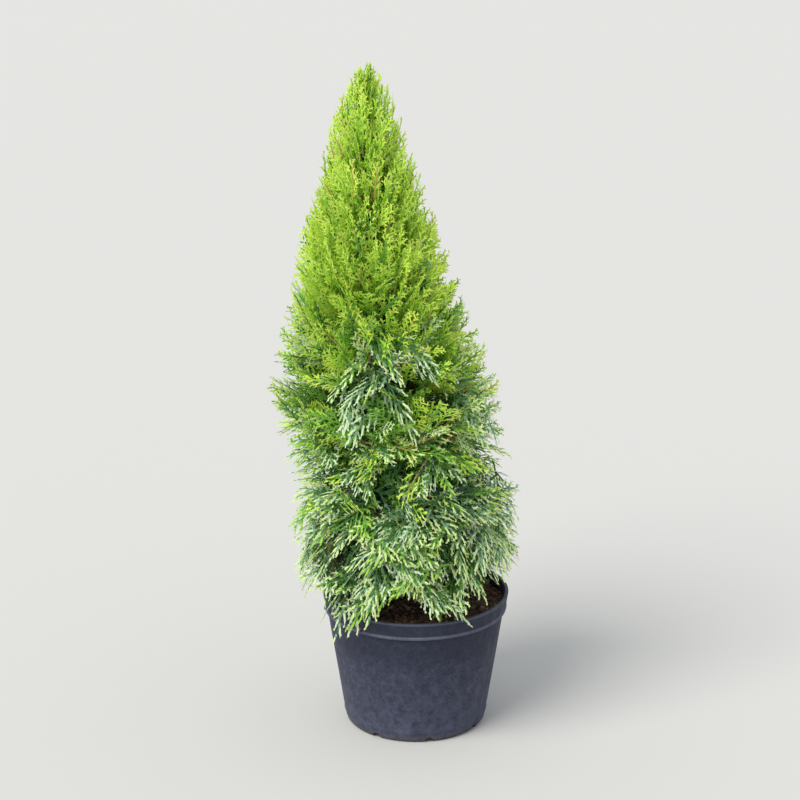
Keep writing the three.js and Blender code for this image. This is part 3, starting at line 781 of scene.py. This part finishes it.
def bough(tier, number, order):
    """A bough and the stem that carries on from it, as one curve. The points of stem carry twigs."""
    random = stream(SEED + order * 100 + number)
    bearing = tier["turn"] + number * 360 / tier["count"]
    start = trunk_at(tier["level"] + LEVEL_SPREAD * (next(random) * 2 - 1))[0]
    flat = direction(bearing + BEARING_SPREAD * (next(random) * 2 - 1), 0)
    middle = start + flat * tier["out"] / 2 + UP * (tier["up"] / 2 + 2 * tier["arch"])
    curve = [start, middle, start + flat * tier["out"] + UP * tier["up"]]
    return SimpleNamespace(
        tier=tier, following=[*TIERS, TOP][order + 1], name=f"{tier['name']}_{number + 1}",
        bearing=bearing, thickness=tier["thickness"], curve=curve,
        stem=bezier(curve, np.linspace(STEM_START, STEM_END, 14)),
    )


def leader():
    """The leader, which carries on from the trunk. Twigs grow from the trunk's top too."""
    foot = trunk_at(TRUNK_LINE[-1, 2])[0]
    tip = foot + np.array([LEADER_LEAN, 0, TOP["stem"]])
    curve = [foot, (foot + tip) / 2, tip]
    below = trunk_at(np.linspace(TOP["floors"][0], TRUNK_LINE[-1, 2], 6))
    return SimpleNamespace(
        tier=TOP, following=None, bearing=TOP["turn"], name="top", thickness=TRUNK_TIP_RADIUS,
        curve=curve, stem=np.vstack([below[:-1], bezier(curve, np.linspace(0, STEM_END, 10))]),
    )


def make_trunk(material):
    heights = np.arange(SOIL_TOP - 4, TRUNK_LINE[-1, 2] + 1, 2.5)
    bark = tube(trunk_at(heights), trunk_radius(heights), sides=28, relief=1.3)
    return mesh_object("trunk_bark", *bark, [material], smooth=True)


def make_boughs(limbs, material):
    heap = Heap()
    shares = np.linspace(0, 1, 30)
    for limb in limbs:
        radii = lerp(limb.thickness, BOUGH_TIP_RADIUS, shares)
        heap.add(*tube(bezier(limb.curve, shares), radii, sides=9, relief=0.5, fineness=2))
    return heap.build("bough_bark", [material], smooth=True)


# The sprays

# A spray has an axis, shoots to both sides of it, and blades to both sides of them. The first
# of a pair of values is for a fan, as high on the crown, and the second for a comb, as low on it.
AXIS_POINTS = 7
AXIS_WAVE = 0.035
AXIS_WIDTH = 1.6
AXIS_TAPER = 0.55
SHOOT_POINTS = 4
SHOOT_SPAN = 0.86
SHOOT_STEPS = (6.2, 7.2)
SHOOT_REACHES = (0.4, 0.43)
SHOOT_UNEVEN = (0.62, 0.26)
SHOOT_SPREADS = (16, 6)
SHOOT_TILTS = (34, 10)
SHOOT_CLOSES = 0.62
SHOOT_CURL = 26
SHOOT_WIDTHS = (1.4, 1.75)
SHOOT_TAPER = 0.7
BLADE_STEPS = (3.7, 4.5)
BLADE_REACHES = (13, 8.6)
BLADE_LIMITS = (3.4, 15)
BLADE_ANGLES = (37, 36)
BLADE_SPREADS = (18, 10)
BLADE_TILT = 0.4
BLADE_WIDTHS = (1.55, 1.8)
FINGER_HANGS = (0.8, 1.3)
SWIRL = 30
CUP = 0.5

# Strips and kites have a ridge, whose height is given in shares of their half width
RIDGE = 0.45
KITE_RIDGE = 1.3
KITE_WIDEST = 0.58
KITE_FACES = np.array([(0, 2, 3), (2, 4, 3), (0, 3, 1), (3, 4, 1), (0, 1, 4), (0, 4, 2)])
KITE_UNDER = np.array([False, False, False, False, True, True])

# How near its spray's tip a face is, by its place on the axis and that on its shoot, whose faces
# are one at its foot, six in each of two spans, and three at its tip
AXIS_PART = 0.25
SHOOT_PART = 0.8
SHOOT_NEAR = np.array([0.02] + [0.17] * 6 + [0.5] * 6 + [0.85] * 3)
AXIS_MARK = -1


def ribbon_faces(stations):
    """Faces of a closed strip with three corners a station, left, right and ridge, and one at its
    tip, and which of them are its underside."""
    sides = ((1, 2), (2, 0), (0, 1))
    faces = [(0, 2, 1)]
    for row in range(0, 3 * (stations - 2), 3):
        for a, b in sides:
            faces += [(row + a, row + a + 3, row + b + 3), (row + a, row + b + 3, row + b)]
    last, tip = 3 * (stations - 2), 3 * (stations - 1)
    faces += [(last + a, tip, last + b) for a, b in sides]
    span = [False, False, False, False, True, True]
    return np.array(faces), np.array([False, *span * (stations - 2), False, False, True])


def flat_side(ways):
    """The left of some ways in a spray's plane."""
    return np.stack([-ways[..., 1], ways[..., 0], np.zeros(ways.shape[:-1])], axis=-1)


def ribbons(points, width, taper):
    """Strips along rows of points: (strip, station, 3). Their half width falls to a share of it,
    taper, and then to a point."""
    count, stations = points.shape[:2]
    widths = width * lerp(1.0, taper, np.linspace(0, 1, stations)[:-1])[:, None]
    ways = unit(np.gradient(points, axis=1))[:, :-1]
    body = points[:, :-1]
    aside = flat_side(ways) * widths
    raised = UP * (widths * RIDGE)
    rings = np.stack([body + aside, body - aside, body + raised], axis=2)
    vertices = np.concatenate([rings.reshape(count, -1, 3), points[:, -1:]], axis=1)
    return vertices, *ribbon_faces(stations)


def kites(roots, tips, widths):
    """Small closed blades, widest past their middle, with a ridge along the top."""
    ways = tips - roots
    middles = roots + KITE_WIDEST * ways
    aside = flat_side(unit(ways)) * widths[:, None]
    raised = UP * (widths[:, None] * RIDGE * KITE_RIDGE)
    return np.stack([roots, middles + aside, middles - aside, middles + raised, tips], axis=1)


def walk(steps):
    """Where rows of steps lead, with their start at 0."""
    return np.concatenate([np.zeros((len(steps), 1)), np.cumsum(steps, axis=1)], axis=1)


def spray_axis(length, rng):
    """Points of a spray's stem, a slow wave along X."""
    shares = np.linspace(0, 1, AXIS_POINTS)
    wave = AXIS_WAVE * length * np.sin(shares * 4 + rng.random() * 6)
    return np.stack([shares * length, wave - wave[0], np.zeros(AXIS_POINTS)], axis=-1)


def spray_shoots(axis, length, opens, comb, rng):
    """Shoots that curl toward the spray's tip and reach farthest below its middle."""
    count = max(4, int(SHOOT_SPAN * length / lerp(*SHOOT_STEPS, comb)))
    numbers = np.arange(count)
    at = 0.1 + SHOOT_SPAN * (numbers + 0.5 + 0.7 * around(count, rng)) / count
    sides = np.where((numbers + rng.integers(2)) % 2, 1, -1)
    reach = np.minimum(1, 0.45 + 1.9 * at) * (1 - at) ** 0.7 + 0.09
    uneven = 0.97 + lerp(*SHOOT_UNEVEN, comb) * around(count, rng)
    reach *= lerp(*SHOOT_REACHES, comb) * length * uneven
    spread = lerp(*SHOOT_SPREADS, comb) * around(count, rng)
    start = np.radians(opens * lerp(1, SHOOT_CLOSES, at) + spread)
    tilt = np.tan(np.radians(lerp(*SHOOT_TILTS, comb) * around(count, rng)))[:, None]
    turn = start[:, None] - math.radians(SHOOT_CURL) * np.linspace(0, 1, SHOOT_POINTS)[:-1]
    run = reach[:, None] / (SHOOT_POINTS - 1)
    along, aside = walk(np.cos(turn) * run), walk(np.sin(turn) * run)
    foot = np.interp(at, np.linspace(0, 1, AXIS_POINTS), axis[:, 1])
    across = foot[:, None] + sides[:, None] * aside
    points = np.stack([at[:, None] * length + along, across, aside * tilt], axis=-1)
    return SimpleNamespace(points=points, at=at, sides=sides, reach=reach, start=start)


def spray_blades(shoots, comb, rng):
    """Small blades to both sides of each shoot, and how near the spray's tip each one is."""
    numbers = np.maximum(2, (0.84 * shoots.reach / lerp(*BLADE_STEPS, comb)).astype(int))
    shoot = np.repeat(np.arange(len(numbers)), numbers)
    order = np.concatenate([np.arange(number) for number in numbers])
    t = 0.14 + 0.82 * (order + 0.5 + 0.5 * around(len(order), rng)) / numbers[shoot]
    place = t * (SHOOT_POINTS - 1)
    low = np.minimum(place.astype(int), SHOOT_POINTS - 2)
    between = (place - low)[:, None]
    before, after = shoots.points[shoot, low], shoots.points[shoot, low + 1]
    roots = before * (1 - between) + after * between
    flip = np.where((order + shoot) % 2, 1, -1)
    swing = lerp(*BLADE_ANGLES, comb) + lerp(*BLADE_SPREADS, comb) * around(len(t), rng)
    heading = shoots.start[shoot] - math.radians(SHOOT_CURL) * t + flip * np.radians(swing)
    size = lerp(*BLADE_REACHES, comb) * (1.05 - t) ** 0.6 * np.sqrt(shoots.reach[shoot] / 34)
    size = np.clip(size * (0.7 + 0.6 * rng.random(len(t))), *BLADE_LIMITS)
    across = shoots.sides[shoot] * np.sin(heading)
    ways = np.stack([np.cos(heading), across, BLADE_TILT * around(len(t), rng)], axis=-1)
    widths = lerp(*BLADE_WIDTHS, comb) * np.clip(size / 9, 0.6, 1.1)
    near = AXIS_PART * shoots.at[shoot] + SHOOT_PART * t + 0.12 * around(len(t), rng)
    return kites(roots, roots + ways * size[:, None], widths), np.clip(near, 0, 1)


def joined(parts):
    """Parts as one shape. Each has its copies' corners, the faces of one copy, which of those are
    underside, and how near the tip they are."""
    vertices, faces, under, near, used = [], [], [], [], 0
    for rows, template, below, nearness in parts:
        copies, corners = rows.shape[:2]
        offsets = used + corners * np.arange(copies)
        vertices.append(rows.reshape(-1, 3))
        faces.append((template[None] + offsets[:, None, None]).reshape(-1, 3))
        under.append(np.tile(below, copies))
        near.append(np.broadcast_to(nearness, (copies, len(template))).ravel())
        used += copies * corners
    return [np.concatenate(rows) for rows in (vertices, faces, under, near)]


def warped(vertices, length, rng):
    """A flat spray's corners, twisted along its axis and cupped across it."""
    turn = np.radians(SWIRL) * either_way(rng) * vertices[:, 0] / length
    aside = vertices[:, 1]
    raised = vertices[:, 2] - CUP * rng.random() * aside**2 / length
    level = aside * np.cos(turn) - raised * np.sin(turn)
    upright = aside * np.sin(turn) + raised * np.cos(turn)
    return np.column_stack([vertices[:, 0], level, upright])


def flat_spray(length, opens, comb, rng):
    """A spray along X in its own plane, with shoots at opens degrees. comb is 0 for a fan and 1
    for a comb. Gives its corners, faces, which are underside, and how near the tip they are."""
    axis = spray_axis(length, rng)
    shoots = spray_shoots(axis, length, opens, comb, rng)
    blades, near = spray_blades(shoots, comb, rng)
    main = (*ribbons(axis[None], AXIS_WIDTH, AXIS_TAPER), AXIS_MARK)
    strips = ribbons(shoots.points, lerp(*SHOOT_WIDTHS, comb), SHOOT_TAPER)
    sides = (*strips, AXIS_PART * shoots.at[:, None] + SHOOT_PART * SHOOT_NEAR)
    vertices, *rest = joined([main, sides, (blades, KITE_FACES, KITE_UNDER, near[:, None])])
    return warped(vertices, length, rng), *rest


# The crown

# Layers of sprays: their depth in the outline, and how many rows and columns fewer they have.
# Those that reach less far than INNER_DEPTH are the crown's back, whose colours paint shade low and
# midway on the crown.
LAYERS = [(0.97, 0, 0), (0.8, 0, 1), (0.48, 1, 3)]
INNER_DEPTH = 0.86
DEPTH_SPREAD = 0.1
DEPTH_SHIFT = 0.6
STAGGER = 0.22
AIM_SPREAD = 0.7
SLICE_USED = 1.1
OUTLINE_ROUNDS = 24

# How a spray is turned: away from its bough, out of the crown and at random, in degrees
FAN_OUT = 1.25
OUTWARD_RISE = 35
TWIST_SPREAD = 40
RISE_SPREAD = 12
DRAPE_SPREAD = 0.4

# A spray that doesn't fit is tried again, smaller and, in some tiers, higher by some degrees
TRIES = 7
TRY_SHRINKS = 0.07
TRY_RAISES = 7
RAISED_TIERS = ("skirt", "lower")

# How far foliage keeps from the soil, the rim and the wall, and how wide the rim is taken to be
SOIL_GAP = 3
RIM_GAP = 2
WALL_GAP = 7
RIM_INSIDE = 9

# The stretch of a limb that twigs grow from
STEM_START = 0.28
STEM_END = 0.98

# Twigs: how much they bend at each try. They stay ROOT_DEPTH inside the outline, and are bare for
# their first TWIG_BARE rings.
TWIG_BENDS = (1, 0.5, 0.1)
TWIG_RADII = (1.5, 0.9)
TWIG_RINGS = 5
TWIG_BARE = 3
TWIG_SIDES = 3
ROOT_DEPTH = 12

# Pale combs that hang amid the upright fans: their bearing, height, half width and half height
TUFTS = [(254, 512, 28, 20), (288, 528, 20, 22), (262, 462, 26, 16), (322, 420, 16, 16)]
TUFT_DRAPE = 0.95
TUFT_DROP = 46
TUFT_SAG = 0.2
TUFT_SHARE = 0.8
TUFT_GROWTH = 1.05

# Colours: where a spray's body and tips start, and the heights that the moods are given for
BODY_FROM = 0.3
TIPS_FROM = 0.54
MOOD_HEIGHTS = (300, 480, 680)
MOOD_SPREAD = 50
STEMS_SHOWN = 0.16


def floor_at(tier, radius):
    """The height of the surface where a tier's space starts, at a distance from the trunk."""
    return np.interp(radius, [0, FOLD_RADIUS, EDGE_RADIUS], tier["floors"])


def hem_at(bearing):
    """How low the lowest tips hang at a bearing."""
    return np.interp(bearing % 360, HEM[:, 0], HEM[:, 1], period=360)


def outline_place(limb, across, share, depth):
    """A place in the crown, at a depth of its outline, and its bearing from the trunk."""
    way = limb.bearing + (across * 2 - 1) * SLICE_USED * 180 / limb.tier["count"]
    radius, height = EDGE_RADIUS, 0
    for _ in range(OUTLINE_ROUNDS):
        low = max(floor_at(limb.tier, radius), hem_at(way))
        high = floor_at(limb.following, radius) if limb.following else CROWN_TOP
        height = lerp(low, high, share)
        radius = (radius + crown_radius(height)) / 2
    return way, crown_centre(height)[0] + direction(way, 0) * depth * crown_radius(height)


def spray_facing(heading, bearing, drape, twist):
    """The way a spray's upper side faces: to one side, as the sign of twist says, and turned out
    by drape."""
    upright = unit(np.cross(UP, heading)) * (1 if twist > 0 else -1)
    outward = direction(bearing, OUTWARD_RISE)
    outward = unit(outward - heading * np.dot(outward, heading))
    facing = unit(lerp(upright, outward, drape))
    turn = math.radians(twist)
    return facing * math.cos(turn) + np.cross(heading, facing) * math.sin(turn)


def tufted(bearing, height):
    """True where a pale tuft hangs amid the upright fans."""
    return any(
        abs(bearing - middle) < wide and abs(height - level) < tall
        for middle, level, wide, tall in TUFTS
    )


def clear_of_pot(points):
    """True if no point is in the pot, its wall or the soil."""
    radius, height = np.hypot(points[:, 0], points[:, 1]), points[:, 2]
    inner, outer = RIM_RADIUS - RIM_INSIDE, RIM_RADIUS + RIM_GAP
    in_soil = (radius < inner) & (height < SOIL_TOP + SOIL_GAP)
    in_rim = (radius >= inner) & (radius < outer) & (height < POT_HEIGHT + RIM_GAP)
    in_wall = (radius >= outer) & (radius < wall_radius(height) + WALL_GAP) & (height < POT_HEIGHT)
    return not np.any(in_soil | in_rim | in_wall)


def in_crown(points, beyond=2):
    """True if no point reaches past the crown's outline by more than some millimetres."""
    radius = np.hypot(*(points - crown_centre(points[:, 2]))[:, :2].T)
    allowed = crown_radius(np.clip(points[:, 2], CROWN_PROFILE[0, 0], None)) + beyond
    return np.all(radius < allowed) and points[:, 2].min() > CROWN_PROFILE[0, 0] - 2


def leaf_slots(under, near, mood, axis):
    """Each face's colour. mood is what the spray shows: its foot, body, tips and underside."""
    foot, body, tips, below = mood
    slots = np.where(near > TIPS_FROM, tips, np.where(near > BODY_FROM, body, foot))
    slots = np.where(under & (near <= TIPS_FROM), below, slots)
    return np.where(near == AXIS_MARK, foot if axis is None else axis, slots)


# What sprays show, with how common each mood is low, midway and high on the crown
MOODS = [
    ((BRIGHT, FRESH, FRESH, FRESH), (0, 0.03, 0.75)),
    ((GREEN, BRIGHT, FRESH, BRIGHT), (0, 0.13, 0.22)),
    ((GREEN, GREEN, BRIGHT, BLUE), (0.08, 0.4, 0)),
    ((DEEP, GREEN, FRESH, BLUE), (0, 0.2, 0.03)),
    ((DEEP, BLUE, SOFT, PALE), (0.32, 0.1, 0)),
    ((DEEP, BLUE, PALE, PALE), (0.34, 0.06, 0)),
    ((DEEP, GREEN, SOFT, BLUE), (0.22, 0.08, 0)),
]
# Inner sprays: darker colours low and midway as painted shade inside the crown, and bright ones high
# up that stand in for light coming through the foliage
BACK_MOODS = [
    ((SHADE, DEEP, DEEP, SHADE), (0.4, 0.25, 0)),
    ((DEEP, DEEP, GREEN, DEEP), (0.4, 0.3, 0)),
    ((DEEP, GREEN, GREEN, DEEP), (0.2, 0.25, 0)),
    ((GREEN, BRIGHT, BRIGHT, GREEN), (0, 0.15, 0.1)),
    ((BRIGHT, FRESH, FRESH, FRESH), (0, 0.05, 0.9)),
]


def mood_of(height, back, rng):
    """The colours of a spray at a height: yellower and brighter further up, bluer further down."""
    moods = BACK_MOODS if back else MOODS
    height += MOOD_SPREAD * either_way(rng)
    shares = np.array([np.interp(height, MOOD_HEIGHTS, common) for _, common in moods])
    return moods[rng.choice(len(moods), p=shares / shares.sum())][0]


def aims_of(tier, rng):
    """Where a mass's sprays reach for: rows and columns over its slice, in front and behind."""
    for depth, fewer_rows, fewer_columns in LAYERS:
        rows, columns = tier["rows"] - fewer_rows, tier["columns"] - fewer_columns
        for row, column in product(range(rows), range(columns)):
            stagger = STAGGER if row % 2 else -STAGGER
            across = (column + 0.5 + stagger + AIM_SPREAD * (rng.random() - 0.5)) / columns
            share = (row + 0.5 + AIM_SPREAD * (rng.random() - 0.5)) / rows
            deep = depth + DEPTH_SPREAD * (rng.random() - DEPTH_SHIFT)
            yield across, share, deep, depth < INNER_DEPTH


def find_twig(stem, root, heading, shift):
    """Points of a twig from a stem to a spray's root that stays in the foliage, or None. It leaves
    the stem where that bends it least, or shift points from there."""
    ways = unit(np.gradient(stem, axis=0))
    cost = np.linalg.norm(stem - root, axis=1) * (1.3 - unit(root - stem) @ heading)
    place = int(np.clip(np.argmin(cost) + shift, 0, len(stem) - 1))
    foot, way = stem[place], ways[place]
    for bend in TWIG_BENDS:
        reach = bend * np.linalg.norm(root - foot)
        leaving, coming = foot + 0.3 * reach * way, root - 0.35 * reach * heading
        curve = [foot, leaving, coming, root + 2 * heading]
        twig = bezier(curve, np.linspace(0, 1, TWIG_RINGS))
        if clear_of_pot(twig) and in_crown(twig, -ROOT_DEPTH):
            return twig
    return None


def plan_spray(limb, across, share, depth, back, rng):
    """What a spray is to be: its tip's place, its ways in degrees, its size and its kind."""
    tier = limb.tier
    way, place = outline_place(limb, across, share, depth)
    fanned = limb.bearing + (way - limb.bearing) * FAN_OUT
    plan = SimpleNamespace(way=way, place=place, comb=tier["comb"])
    plan.swung = fanned + tier["sideways"] * either_way(rng)
    plan.drape = np.clip(tier["drape"] + DRAPE_SPREAD * either_way(rng), 0, 1)
    plan.rise = lerp(*tier["rises"], share) + RISE_SPREAD * either_way(rng)
    plan.raises = TRY_RAISES if tier["name"] in RAISED_TIERS else 0
    plan.sag = lerp(*tier["sags"], share)
    plan.length = tier["spray"] * (0.74 + 0.54 * rng.random())
    plan.twist = TWIST_SPREAD * either_way(rng)
    plan.tuft = rng.random() < TUFT_SHARE and not back and tufted(way % 360, place[2])
    if plan.tuft:
        plan.comb, plan.drape = 1, TUFT_DRAPE
        plan.rise -= TUFT_DROP
        plan.sag += TUFT_SAG
        plan.length *= TUFT_GROWTH
    plan.shift = rng.integers(-2, 3)
    return plan


def try_spray(plan, limb, attempt, rng):
    """A planned spray in its place, with its twig, or None if it doesn't fit at this try."""
    size = plan.length * (1 - TRY_SHRINKS * attempt)
    heading = direction(plan.swung, plan.rise + plan.raises * attempt)
    root = plan.place - heading * size
    root[2] += plan.sag * size
    facing = spray_facing(heading, plan.way, plan.drape, plan.twist)
    local, faces, under, near = flat_spray(size, limb.tier["opens"], plan.comb, rng)
    points = root + local @ np.stack([heading, np.cross(facing, heading), facing])
    along, aside = (local[:, 0] / size) ** 2, (local[:, 1] / size) ** 2
    points[:, 2] -= plan.sag * size * (along + lerp(*FINGER_HANGS, plan.comb) * aside)
    if not in_crown(points) or not clear_of_pot(points):
        return None
    twig = find_twig(limb.stem, root, heading, plan.shift)
    return None if twig is None else (points, faces, under, near, twig)


def fit_spray(plan, limb, rng):
    """The first try of a planned spray that fits, or None. Each try draws the same shape."""
    state = rng.bit_generator.state
    for attempt in range(TRIES):
        rng.bit_generator.state = state
        spray = try_spray(plan, limb, attempt, rng)
        if spray:
            return spray
    return None


def grow_mass(limb, sprays, twigs, rng):
    """The sprays and twigs that grow from one limb's stem. Those that don't fit are left out."""
    for across, share, depth, back in aims_of(limb.tier, rng):
        plan = plan_spray(limb, across, share, depth, back, rng)
        spray = fit_spray(plan, limb, rng)
        if spray is None:
            continue
        points, faces, under, near, twig = spray
        mood = mood_of(MOOD_HEIGHTS[0] if plan.tuft else plan.place[2], back, rng)
        axis = STEM if not back and rng.random() < STEMS_SHOWN * (1 - plan.comb) else None
        sprays.append((points, faces, leaf_slots(under, near, mood, axis)))
        vertices, faces = tube(twig, np.linspace(*TWIG_RADII, TWIG_RINGS), TWIG_SIDES)
        twigs.add(vertices, faces, faces.min(axis=1) >= TWIG_BARE * TWIG_SIDES)


def make_foliage(limbs, leaves, twig_bark):
    """The sprays of each tier in pieces of about PIECE_LIMIT triangles, and the twigs as one."""
    rng = np.random.default_rng(SEED)
    twigs = Heap()
    pieces = []
    for tier in [*TIERS, TOP]:
        own = [limb for limb in limbs if limb.tier is tier]
        sprays = []
        for limb in own:
            grow_mass(limb, sprays, twigs, rng)
        parts = math.ceil(sum(len(faces) for _, faces, _ in sprays) / PIECE_LIMIT)
        for part in range(parts):
            heap = Heap()
            for spray in sprays[part::parts]:
                heap.add(*spray)
            piece = heap.build(f"sprays_{tier['name']}_{part + 1}", leaves)
            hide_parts(*[f"foliage_{limb.name}" for limb in own])
            pieces.append(piece)
    made = twigs.build("twigs", [twig_bark, leaves[GREEN]], smooth=True)
    return [*pieces, made]


def build():
    camera()
    backdrop()
    lights()
    bark = bark_material()
    soils = [soil_material(*soil) for soil in SOILS]
    leaves = [leaf_material(*leaf) for leaf in LEAVES]

    pot = make_pot(pot_material())
    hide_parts("pot")
    soil = make_soil(soils[0])
    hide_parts("soil")
    crumbs = make_crumbs(soils)

    limbs = []
    for order, tier in enumerate(TIERS):
        limbs += [bough(tier, number, order) for number in range(tier["count"])]
    carriers = [*limbs, leader()]
    boughs = make_boughs(carriers, bark)
    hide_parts(*[f"bough_{limb.name}" for limb in limbs])
    trunk = make_trunk(bark)
    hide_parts("trunk")
    foliage = make_foliage(carriers, leaves, twig_material())
    for piece in [pot, soil, crumbs, trunk, boughs, *foliage]:
        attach(piece, "root")


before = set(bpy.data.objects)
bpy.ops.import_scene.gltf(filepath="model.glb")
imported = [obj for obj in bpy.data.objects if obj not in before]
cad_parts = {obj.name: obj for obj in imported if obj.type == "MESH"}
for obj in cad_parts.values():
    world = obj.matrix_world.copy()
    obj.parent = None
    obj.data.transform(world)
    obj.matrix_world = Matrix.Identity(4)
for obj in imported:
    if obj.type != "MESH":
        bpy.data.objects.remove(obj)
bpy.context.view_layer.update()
build()
